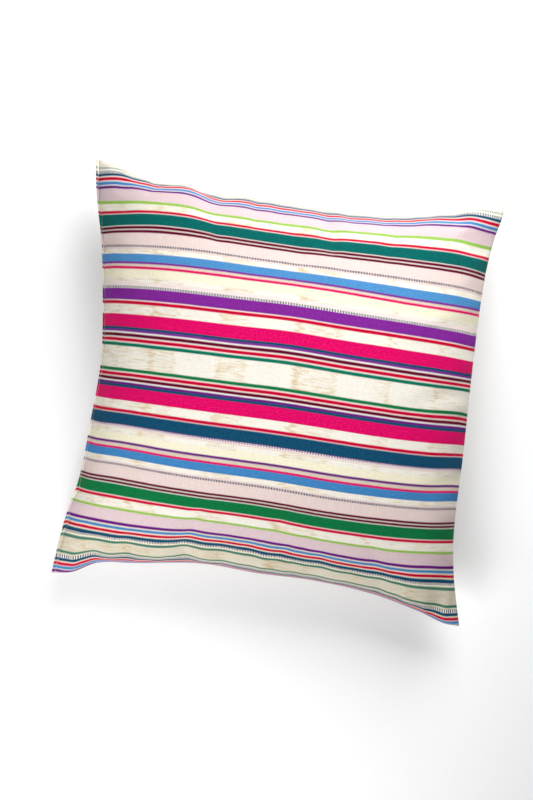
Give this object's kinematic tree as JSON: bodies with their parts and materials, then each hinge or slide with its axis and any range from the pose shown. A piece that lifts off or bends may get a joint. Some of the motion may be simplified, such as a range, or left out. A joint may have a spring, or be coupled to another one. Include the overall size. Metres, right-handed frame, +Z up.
{
  "type": "striped square cushion",
  "caption": "Square filled throw cushion lying on its plain back, with a striped ikat front, drawn-in sides and soft corner ears.",
  "frame": {"origin": "on the table under the middle of the cushion's box", "axes": "+Z up, out of the striped face; +X along the stripes; +Y across the stripes towards the cushion's top edge"},
  "size_m": [0.5463, 0.564, 0.1688],
  "materials": {
    "striped_cotton": "warp-faced ribbed cotton with dyed and ikat stripes, matt",
    "plain_cotton": "plain off-white cotton, matt"
  },
  "bodies": {
    "root": {"front_panel": "striped_cotton", "cushion": "plain_cotton"}
  },
  "joints": []
}
